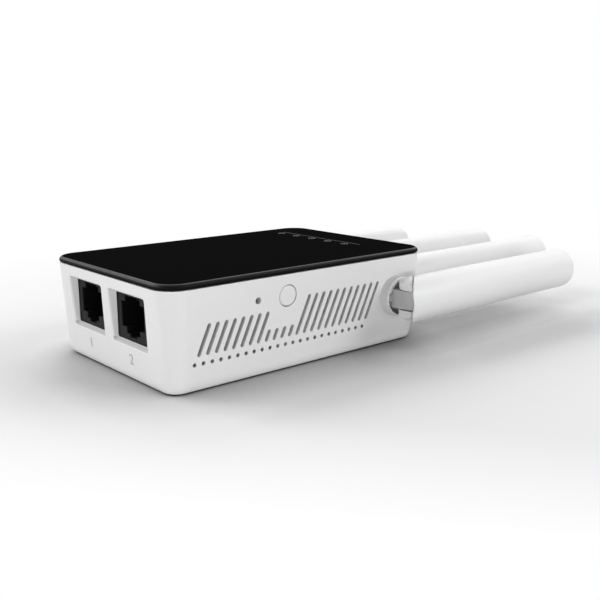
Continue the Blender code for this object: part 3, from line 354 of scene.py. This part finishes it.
def moulded(node, body, radius, reshape=None):
    """A node's own surface with its points merged, its flat faces joined and its sharp edges rounded."""
    shape = bmesh.new()
    shape.from_mesh(NODES[node].data)
    bmesh.ops.remove_doubles(shape, verts=shape.verts, dist=LOOSE_GAP)
    flat = math.radians(FLAT_ANGLE)
    bmesh.ops.dissolve_limit(shape, angle_limit=flat, verts=shape.verts, edges=shape.edges)
    edges = [edge for edge in shape.edges if edge.calc_face_angle(0) > math.radians(SHARP_ANGLE)]
    bmesh.ops.bevel(shape, geom=edges, offset=radius, segments=EDGE_SEGMENTS, profile=0.5, affect="EDGES",
                    clamp_overlap=True)
    name = f"{node}_moulding"
    mesh = bpy.data.meshes.new(name)
    shape.to_mesh(mesh)
    shape.free()
    if reshape:
        reshape(mesh)
    piece = settle(name, mesh, body, node, SHARP_ANGLE)
    even = piece.modifiers.new("flat_faces_stay_flat", "WEIGHTED_NORMAL")
    even.keep_sharp = True
    even.weight = FLAT_FACE_WEIGHT
    return piece


# Shader arithmetic

class Socket:
    """Output of a shader node. Arithmetic on it adds Math nodes, and node() adds any other node."""

    def __init__(self, tree, output):
        self.tree = tree
        self.output = output

    def node(self, kind, inputs, take=0, **settings):
        """A node of some kind: its settings first, then its sockets get values or links."""
        made = self.tree.nodes.new(kind)
        for name, setting in settings.items():
            setattr(made, name, setting)
        for key, given in inputs.items():
            if isinstance(given, Socket):
                self.tree.links.new(given.output, made.inputs[key])
            else:
                made.inputs[key].default_value = given
        return Socket(self.tree, made.outputs[take] if len(made.outputs) else None)

    def math(self, operation, *operands):
        """A Math node on sockets and numbers."""
        return self.node("ShaderNodeMath", dict(enumerate(operands)), operation=operation)

    def __add__(self, other):
        return self.math("ADD", self, other)

    def __radd__(self, other):
        return self.math("ADD", other, self)

    def __sub__(self, other):
        return self.math("SUBTRACT", self, other)

    def __rsub__(self, other):
        return self.math("SUBTRACT", other, self)

    def __mul__(self, other):
        return self.math("MULTIPLY", self, other)

    def __rmul__(self, other):
        return self.math("MULTIPLY", other, self)

    def __pow__(self, other):
        return self.math("POWER", self, other)

    def __abs__(self):
        return self.math("ABSOLUTE", self)

    def both(self, other):
        """The lesser of two masks, one where both are one."""
        return self.math("MINIMUM", self, other)

    def either(self, other):
        """The greater of two masks, one where either is one."""
        return self.math("MAXIMUM", self, other)

    def rise(self, low, high):
        """Zero below low, one above high and a straight ramp between, also with low above high."""
        return self.node("ShaderNodeMapRange", {"Value": self, "From Min": low, "From Max": high})

    def swing(self, spread):
        """A noise moved to lie about zero, and scaled."""
        return (self - NOISE_MIDDLE) * spread

    def axes(self):
        """The three parts of a vector."""
        parts = self.node("ShaderNodeSeparateXYZ", {"Vector": self})
        made = parts.output.node
        return tuple(Socket(self.tree, output) for output in made.outputs)

    def noise(self, scale, detail=2.0, roughness=0.5):
        """Cloudy noise of this many cells per metre, about 0.5."""
        sockets = {"Vector": self, "Scale": scale, "Detail": detail, "Roughness": roughness}
        return self.node("ShaderNodeTexNoise", sockets)

    def blend(self, low, high):
        """A colour from low to high as this mask goes from zero to one."""
        # A Mix node holds sockets for every kind of data: its colours are 6 and 7, and its colour result 2
        colours = {"Factor": self, 6: low, 7: high}
        return self.node("ShaderNodeMix", colours, take=2, data_type="RGBA")

    def bump(self, height, distance, strength):
        """Surface normal of a height pattern."""
        return self.node("ShaderNodeBump", {"Height": height, "Distance": distance, "Strength": strength})

    def principled(self, **sockets):
        """A Principled shader with its sockets named by words joined with an underscore."""
        named = {key.replace("_", " "): value for key, value in sockets.items()}
        return self.node("ShaderNodeBsdfPrincipled", named)


def start(name):
    """A new material and its Object coordinates as a socket to build on."""
    material = bpy.data.materials.new(name)
    material.use_nodes = True
    tree = material.node_tree
    tree.nodes.clear()
    return material, Socket(tree, tree.nodes.new("ShaderNodeTexCoord").outputs["Object"])


def close(material, shader):
    """End a material with its surface shader."""
    shader.node("ShaderNodeOutputMaterial", {"Surface": shader})
    return material


def colour(red, green, blue):
    """A colour as a socket takes it, with full alpha."""
    return (red, green, blue, 1)


def grey(tone):
    """A colour of three equal parts."""
    return colour(tone, tone, tone)


def seen(tree):
    """One for what the camera, a reflection or a clear piece sees, zero for light that bounces."""
    path = tree.nodes.new("ShaderNodeLightPath")
    straight, glossy, through = (Socket(tree, path.outputs[name]) for name in SEEN_BY)
    return straight.either(glossy).either(through)


def assign(material, *objects):
    """Give objects one material in place of what they had."""
    for made in objects:
        made.data.materials.clear()
        made.data.materials.append(material)


def assign_nodes(material, *names):
    """Give CAD nodes that stay in view one material."""
    assign(material, *[NODES[name] for name in names])


# Finishes, two of them with shade painted into their colour

def depths(place):
    """Place, and depth inside the box's drafted side and end walls, below zero where a face stands out."""
    x, y, z = place.axes()
    lean = (LID_PARTING - z) * DRAFT
    return x, y, z, PARTING_HALF_WIDTH - lean - abs(x), PARTING_HALF_LENGTH - lean - abs(y)


def moulded_tint(place, tone):
    """Faint flow clouds, and a tone that follows them."""
    flow = place.noise(FLOW_CLOUDS)
    dull = colour(*[tone * part for part in FLOW_DULL])
    clear = colour(*[tone * part for part in FLOW_CLEAR])
    return flow, flow.rise(*NOISE_SPAN).blend(dull, clear)


def moulded_close(material, place, flow, tint, roughness, grain):
    """End a moulded plastic with its fine spark-eroded grain in gloss and height."""
    fine = place.noise(grain, detail=3.0, roughness=0.6)
    gloss = roughness + fine.swing(GRAIN_GLOSS) + flow.swing(FLOW_GLOSS)
    normal = place.bump(fine, distance=GRAIN_RELIEF, strength=0.35)
    return close(material, place.principled(Base_Color=tint, Roughness=gloss, Normal=normal))


def moulded_plastic(name, tone, roughness, grain):
    """Moulded plastic of one tone."""
    material, place = start(name)
    flow, tint = moulded_tint(place, tone)
    return moulded_close(material, place, flow, tint, roughness, grain)


def shell_finish_and_painted_shade(tone, roughness, grain):
    """The box's white plastic, with shade painted into its colour in its vents, ports and holes and round
    its hinge rings.
    """
    material, place = start("shell_white")
    flow, tint = moulded_tint(place, tone)
    x, y, z, side, end = depths(place)
    inside = z.rise(*RECESS_FLOOR)
    vents = side.rise(*RECESS_DEPTH).both(abs(y).rise(*VENT_REACH)).both(inside)
    dots = vents.both(z.rise(*DOT_TOP))
    across = abs(x).rise(*PORT_REACH).both(inside)
    ports = end.rise(*RECESS_DEPTH).both(across)
    over_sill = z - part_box("network_socket_1")[0].z
    sill = end.rise(*SILL_DEPTH).both(across).both(over_sill.rise(*SILL_HEIGHT))
    side_rings = (side * -1).rise(*RISE_ABOVE).both(abs(x).rise(*SIDE_RING_FACE))
    end_rings = (end * -1).rise(*RISE_ABOVE).both(abs(y).rise(*END_RING_FACE))
    # Painted shade: the white is darkened inside the vents, more in the dots, inside the ports and most on
    # the port sills
    tint = vents.blend(tint, grey(tone * VENT_PAINTED_SHADE))
    tint = dots.blend(tint, grey(tone * DOT_PAINTED_SHADE))
    tint = ports.blend(tint, grey(tone * PORT_PAINTED_SHADE))
    tint = sill.blend(tint, grey(tone * SILL_PAINTED_SHADE))
    # Painted shade on the sides of the hinge rings that stand out from the side and end walls
    tint = side_rings.either(end_rings).blend(tint, grey(tone * RING_PAINTED_SHADE))
    return moulded_close(material, place, flow, tint, roughness, grain)


def plain_finish(name, low, high, cells, roughness, metallic, relief):
    """Plain finish whose tone, gloss and height follow one noise."""
    material, place = start(name)
    grain = place.noise(cells, detail=3.0, roughness=0.55)
    tint = grain.rise(*NOISE_SPAN).blend(colour(*low), colour(*high))
    gloss = roughness + grain.swing(PLAIN_GLOSS)
    normal = place.bump(grain, distance=relief, strength=0.4)
    shader = place.principled(Base_Color=tint, Roughness=gloss, Metallic=metallic, Normal=normal)
    return close(material, shader)


def socket_finish_and_painted_shade():
    """Black moulded socket: satin face, and shade painted into the colour of its cavity behind it."""
    material, place = start("socket_black")
    behind = place.axes()[1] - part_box("network_socket_1")[0].y
    grain = place.noise(SOCKET_GRAIN, detail=3.0, roughness=0.55)
    low, high = SOCKET_SATIN
    satin = grain.rise(*NOISE_SPAN).blend(colour(*low), colour(*high))
    # Painted shade: the colour turns near black a little behind the socket's face
    tint = behind.rise(*SOCKET_MOUTH).blend(satin, colour(*SOCKET_CAVITY_PAINTED_SHADE))
    gloss = SOCKET_ROUGHNESS + grain.swing(PLAIN_GLOSS)
    return close(material, place.principled(Base_Color=tint, Roughness=gloss, Specular_IOR_Level=0.08))


# Lid

def lid_outline(inset):
    """Plan of the lid's rounded outline moved in by insets (rows, 1), as x and y of (rows, columns)."""
    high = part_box("top_cover")[1]
    turn = quarter_turn(LID_CORNER_STEPS)
    angle = np.concatenate([turn + corner * np.pi / 2 for corner in range(4)])
    side_x = np.repeat([1, -1, -1, 1], len(turn))
    side_y = np.repeat([1, 1, -1, -1], len(turn))
    reach = LID_CORNER - inset
    x = side_x * (high.x - LID_CORNER) + reach * np.cos(angle)
    y = side_y * (high.y - LID_CORNER) + reach * np.sin(angle)
    return x, y


def lid():
    """Lid: rows carry a profile of (inset, height) round the rounded outline.

    The profile runs in under the lip, round its foot, up the side, round the upper edge by a quarter
    circle and over the flat top; the first and last rows shrink to the middle.
    """
    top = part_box("top_cover")[1].z
    turn = quarter_turn(LID_EDGE_STEPS)
    profile = np.concatenate([
        rows(LID_INSETS_UNDER, LID_PARTING),
        rows(0.0, LID_PARTING + LID_FOOT_ROUND),
        rows(LID_EDGE * (1 - np.cos(turn)), top - LID_EDGE * (1 - np.sin(turn))),
        rows(LID_INSETS_TOP, top),
    ])
    inset, height = profile.T[:, :, None]
    points = np.stack(np.broadcast_arrays(*lid_outline(inset), height), axis=-1)
    middle = np.array([0.0, 0.0, 1.0])
    points = np.concatenate([points[:1] * middle, points, points[-1:] * middle])
    return surface("lid_shell", points, "housing", "top_cover", LID_SHARP)


def lid_marks(x, y):
    """Mask of the printed marks: a line, and rings with a dot in each."""
    middle = sum(MARK_LINE_ENDS) / 2
    span = (MARK_LINE_ENDS[1] - MARK_LINE_ENDS[0]) / 2
    line = abs(y - MARK_LINE_Y).rise(*MARK_LINE_EDGE)
    ink = line.both(abs(x - middle).rise(span, span - MARK_LINE_TAPER))
    along = y - MARK_Y
    for number in range(MARK_COUNT):
        across = x - (MARK_FIRST_X + number * MARK_PITCH)
        radius = (across * across + along * along) ** 0.5
        ring = abs(radius - MARK_RADIUS).rise(*MARK_RING_EDGE)
        ink = ink.either(ring).either(radius.rise(*MARK_DOT_EDGE))
    return ink


def lid_finish():
    """Black lid: a dead black film on the flat top with printed marks, bare gloss plastic round its edge.

    Down the edge the gloss dies away with the height: evenly at the front, by its third power elsewhere.
    """
    material, place = start("black_lid")
    low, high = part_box("top_cover")
    x, y, z = place.axes()
    depth = high.z - z
    haze = place.noise(LID_HAZE, detail=3.0)
    ink = lid_marks(x, y).both(depth.rise(*PRINT_DEPTH))
    printed = ink.blend(colour(*LID_FILM), colour(*PRINT_INK))
    dead = LID_FILM_ROUGHNESS + haze.swing(LID_FILM_GLOSS)
    film = place.principled(Base_Color=printed, Roughness=dead, Specular_IOR_Level=0.0)
    gloss = LID_BARE_ROUGHNESS + haze.swing(LID_BARE_GLOSS)
    bare = place.principled(Base_Color=colour(*LID_BARE), Roughness=gloss, Specular_IOR_Level=0.17)
    front = (y - low.y).rise(*LID_FRONT)
    crest = depth.rise(*LID_CREST_DEPTH) ** (3 - front * 2)
    flat = 1 - (1 - depth.rise(*LID_TOP_DEPTH)) * (LID_BARE_LEAST + crest * (1 - LID_BARE_LEAST))
    return close(material, place.node("ShaderNodeMixShader", {0: flat, 1: bare, 2: film}))


# Antenna tubes

def antenna_frame(label):
    """Pin place and three directions of a tube: along it, to its short side, and along its pin."""
    along = np.array([0.0, 1.0, 0.0])
    short = np.array(SHORT_SIDES[label])
    return PINS[f"{label}_fold"], along, short, np.cross(along, short)


def mouth(side):
    """Start of the tube's wall for each sideways place: a slanted cut whose long tip ends square."""
    corners = (-TUBE_RADIUS, -HOOD_REACH / MOUTH_SLOPE, 0.0, MOUTH_SHORT_WIDTH, TUBE_RADIUS)
    starts = (-HOOD_REACH, -HOOD_REACH, 0.0, MOUTH_SHORT_SIDE, MOUTH_SHORT_SIDE)
    return np.interp(side, corners, starts)


def tube_profile():
    """Rows of (radius, depth, what the depth is measured from).

    They run from the closed end of the bore down the inner wall, out to the hood's thinner wall, round the
    mouth's lip by two quarter circles, along the outer wall, round the tip's edge and over its crown.
    """
    inner = TUBE_RADIUS - TUBE_WALL
    edge_end = TUBE_REACH - TUBE_TIP_CROWN
    flat = TUBE_RADIUS - TUBE_TIP_ROUND
    lip = quarter_turn(TUBE_LIP_STEPS)
    lip_fall = TUBE_LIP * (1 - np.cos(lip))
    lip_climb = TUBE_LIP * (1 - np.sin(lip))
    tip = quarter_turn(TUBE_TIP_STEPS)
    crown = np.array(TUBE_CROWN_PARTS)
    return np.concatenate([
        rows((0.0, inner), edge_end - TUBE_WALL, FROM_PIN),
        rows(inner, TUBE_REACH / 2, FROM_PIN),
        rows((inner, HOOD_RADIUS), 0.0, FROM_HOOD),
        rows(HOOD_RADIUS + lip_fall, lip_climb, FROM_MOUTH),
        rows(TUBE_RADIUS - lip_climb, lip_fall, FROM_MOUTH),
        rows(TUBE_RADIUS, TUBE_REACH * np.array(TUBE_PARTS), FROM_PIN),
        rows(flat + TUBE_TIP_ROUND * np.cos(tip), edge_end - TUBE_TIP_ROUND * (1 - np.sin(tip)), FROM_PIN),
        rows(flat * crown, edge_end + TUBE_TIP_CROWN * (1 - crown ** 2), FROM_PIN),
    ])


def tube(label):
    """Antenna tube: each row of its profile is a ring, set at a reach or behind the slanted mouth."""
    angle = full_turn(TUBE_STEPS)
    radius, depth, kind = tube_profile().T[:, :, None]
    across = radius * np.cos(angle)
    upward = radius * np.sin(angle)
    begin = mouth(across)
    hood = np.maximum(begin, -HOOD_FLOOR) + TUBE_LIP
    distance = depth + np.where(kind == FROM_PIN, 0.0, np.where(kind == FROM_HOOD, hood, begin))
    pin, along, short, upright = antenna_frame(label)
    points = pin + distance[..., None] * along
    points = points + across[..., None] * short + upward[..., None] * upright
    return surface(f"{label}_tube", points, f"{label}_antenna", f"{label}_sleeve", TUBE_SHARP)


# Push button

def button_cap():
    """Button: a stepped disc turned about X from rows of (radius, x at its middle, whether it leans).

    Its face and round edge lean with the drafted wall: x grows by the draft times the height.
    """
    low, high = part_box("push_button")
    centre_y = (low.y + high.y) / 2
    centre_z = (low.z + high.z) / 2
    flange = (high.z - low.z) / 2
    wall = PARTING_HALF_WIDTH - DRAFT * (LID_PARTING - centre_z)
    seat = wall - BUTTON_SEAT
    turn = quarter_turn(BUTTON_EDGE_STEPS)
    edge = BUTTON_RADIUS - BUTTON_EDGE * (1 - np.cos(turn))
    profile = np.concatenate([
        rows((0.0, BUTTON_STEM), low.x, UPRIGHT),
        rows((BUTTON_STEM, flange), seat - BUTTON_FLANGE, UPRIGHT),
        rows((flange, BUTTON_RADIUS), seat, UPRIGHT),
        rows(edge, wall - BUTTON_EDGE * (1 - np.sin(turn)), LEANING),
        rows(BUTTON_RADIUS * np.array(BUTTON_PARTS), wall, LEANING),
    ])
    radius, height, lean = profile.T[:, :, None]
    angle = full_turn(BUTTON_STEPS)
    up = radius * np.sin(angle)
    x = height + lean * DRAFT * up
    points = np.stack([x, centre_y + radius * np.cos(angle), centre_z + up], axis=-1)
    return surface("button_cap", points, "button", "push_button", BUTTON_SHARP)


# Port numbers

def port_number(text, middle):
    """Raised numeral: a font's outline thickened along its normal and laid on the leaning front wall."""
    curve = bpy.data.curves.new("numeral", "FONT")
    curve.body = text
    curve.size = NUMBER_SIZE
    curve.extrude = NUMBER_RELIEF
    curve.align_x = "CENTER"
    curve.align_y = "CENTER"
    flat = bpy.data.objects.new("numeral", curve)
    mesh = bpy.data.meshes.new_from_object(flat)
    bpy.data.objects.remove(flat)
    across = Vector((1, 0, 0))
    up = Vector((0, -DRAFT, 1)).normalized()
    out = across.cross(up)
    wall = PARTING_HALF_LENGTH - DRAFT * (LID_PARTING - NUMBER_HEIGHT)
    place = Matrix((across, up, out)).transposed().to_4x4()
    place.translation = (middle, -wall, NUMBER_HEIGHT)
    mesh.transform(place)
    piece = settle(f"port_number_{text}", mesh, "housing", None, NUMBER_SHARP)
    return piece


# Studio

def camera():
    """Camera at the photograph's place, angle and focal length."""
    data = bpy.data.cameras.new("camera")
    data.sensor_width = SENSOR_MM
    data.lens = SENSOR_MM * FOCAL_PIXELS / PICTURE_PIXELS
    data.clip_start = CAMERA_CLIP
    made = bpy.data.objects.new("camera", data)
    made.location = CAMERA_PLACE
    made.rotation_euler = (math.radians(90 - CAMERA_ELEVATION), 0, math.radians(CAMERA_AZIMUTH))
    bpy.context.scene.collection.objects.link(made)
    bpy.context.scene.camera = made


def soft_light(name, azimuth, elevation, reach, size, power):
    """Soft box at an azimuth from +X, an elevation and a reach from the origin, turned to the object."""
    turn = math.radians(azimuth)
    rise = math.radians(elevation)
    level = math.cos(rise)
    place = Vector((math.cos(turn) * level, math.sin(turn) * level, math.sin(rise))) * reach
    data = bpy.data.lights.new(name, "AREA")
    data.shape = "RECTANGLE"
    data.size, data.size_y = size
    data.energy = power
    made = bpy.data.objects.new(name, data)
    made.location = place
    made.rotation_euler = (Vector(LIGHT_TARGET) - place).to_track_quat("-Z", "Y").to_euler()
    bpy.context.scene.collection.objects.link(made)


def world():
    """Even studio surroundings: white to the eye and to reflections, a set level as light."""
    made = bpy.data.worlds.new("studio")
    made.use_nodes = True
    tree = made.node_tree
    tree.nodes.clear()
    shown = seen(tree)
    light = shown.node("ShaderNodeBackground", {"Color": grey(1), "Strength": WORLD_LIGHT})
    white = shown.node("ShaderNodeBackground", {"Color": grey(1), "Strength": 1.0})
    mixed = shown.node("ShaderNodeMixShader", {0: shown, 1: light, 2: white})
    mixed.node("ShaderNodeOutputWorld", {"Surface": mixed})
    bpy.context.scene.world = made


def floor_finish():
    """Paper that pales to white in front of the object and far from it.

    Where it is seen it is darkened where the object shuts out light close by; as a source of bounced light
    it is two thirds as bright, as a small sheet would be.
    """
    material, place = start("pale_floor")
    x, y = place.axes()[:2]
    across = x - FADE_CENTRE[0]
    along = y - FADE_CENTRE[1]
    far = ((across * across + along * along) ** 0.5).rise(*FADE_FAR)
    turn = math.radians(FADE_AZIMUTH)
    front = (x * math.cos(turn) + y * math.sin(turn)).rise(*FADE_REACH)
    shown = seen(place.tree)
    cloud = place.noise(FLOOR_CLOUDS)
    tint, dim = (cloud.blend(grey(low), grey(high)) for low, high in (FLOOR_PAPER, FLOOR_BOUNCE))
    broad, narrow = (
        place.node("ShaderNodeAmbientOcclusion", {"Color": tint, "Distance": reach}, samples=CONTACT_SAMPLES)
        for reach in (CONTACT_REACH, CONTACT_REACH_NARROW)
    )
    slender = y.rise(*TUBES_BEGIN).either((x * -1).rise(*FAR_SIDE_BEGIN))
    shaded = slender.blend(broad, narrow)
    paper = place.principled(Base_Color=shaded, Roughness=0.9, Specular_IOR_Level=0.0)
    bounce = place.principled(Base_Color=dim, Roughness=0.9, Specular_IOR_Level=0.0)
    sheet = place.node("ShaderNodeMixShader", {0: shown, 1: bounce, 2: paper})
    white = place.node("ShaderNodeEmission", {"Color": grey(1), "Strength": 1.0})
    look = place.node("ShaderNodeMixShader", {0: far.either(front) * shown, 1: sheet, 2: white})
    return close(material, look)


def floor():
    """Plain pale floor: a broad flat grid a little under the object."""
    count = FLOOR_CELLS + 1
    steps = np.linspace(-FLOOR_HALF, FLOOR_HALF, count)
    x, y = np.meshgrid(steps, steps, indexing="ij")
    points = np.stack([x, y, np.full_like(x, -FLOOR_DROP)], axis=-1).reshape(-1, 3)
    row, column = np.meshgrid(np.arange(FLOOR_CELLS), np.arange(FLOOR_CELLS), indexing="ij")
    first = (row * count + column).ravel()
    faces = np.stack([first, first + count, first + count + 1, first + 1], axis=-1)
    mesh = bpy.data.meshes.new("floor")
    mesh.from_pydata(points.tolist(), [], faces.tolist())
    made = bpy.data.objects.new("floor", mesh)
    bpy.context.scene.collection.objects.link(made)
    assign(floor_finish(), made)


def studio():
    """Soft boxes, surroundings, floor and camera."""
    world()
    for azimuth, power in RING_POWERS:
        soft_light(f"ring_box_{azimuth}", azimuth, RING_ELEVATION, RING_REACH, RING_SIZE, power)
    for strip in STRIPS:
        soft_light(*strip)
    floor()
    camera()
    bpy.context.scene.view_settings.view_transform = "Standard"


# The object

def dress():
    """Replace the parts that show curves, round the moulded edges and give every piece its finish."""
    plain_white = moulded_plastic("plain_white", *SHELL_WHITE)
    tube_white = moulded_plastic("tube_white", *TUBE_WHITE)
    hinge_grey = moulded_plastic("hinge_grey", *HINGE_GREY)
    socket_black = socket_finish_and_painted_shade()
    plain = {name: plain_finish(name, *values) for name, values in PLAIN_FINISHES.items()}
    steel = plain["plain_steel"]
    board = plain["solder_mask"]
    assign(shell_finish_and_painted_shade(*SHELL_WHITE), moulded("main_housing", "housing", HOUSING_EDGE, soften_base))
    assign(lid_finish(), lid())
    for number in (1, 2):
        assign(socket_black, moulded(f"network_socket_{number}", "housing", SOCKET_EDGE))
        assign_nodes(plain["gold_plate"], f"socket_contacts_{number}")
        low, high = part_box(f"network_socket_{number}")
        # The ports are counted from the other side than the sockets
        assign(plain["print_grey"], port_number(str(3 - number), (low.x + high.x) / 2))
    assign(plain_white, button_cap())
    for label in ANTENNAS:
        assign(tube_white, tube(label))
        assign(hinge_grey, moulded(f"{label}_knuckle", f"{label}_swivel", KNUCKLE_EDGE))
        assign(plain_white, moulded(f"{label}_fork", f"{label}_antenna", FORK_EDGE))
        assign_nodes(board, f"{label}_radiator")
        assign_nodes(steel, f"{label}_hinge_pin")
        assign_nodes(plain["lead_jacket"], f"{label}_lead")
    assign_nodes(board, "circuit_board")
    assign_nodes(plain_white, "lamp_baffle", "plug_carrier")
    assign_nodes(steel, "shield_can", "button_plunger", *[f"lid_screw_{number}" for number in range(1, 5)])
    assign_nodes(plain["moulded_chip"], "wifi_chip", "network_transformer", "button_switch", "reset_switch")
    assign_nodes(plain["ferrite"], "power_transformer", "reset_plunger")
    assign_nodes(plain["shrink_sleeve"], "capacitor_1", "capacitor_2")
    assign_nodes(plain["lamp_lens"], *[f"status_lamp_{number}" for number in range(1, 6)])
    assign_nodes(plain["bright_brass"], "plug_blade_1", "plug_blade_2", "mains_contact_1", "mains_contact_2")


dress()
studio()
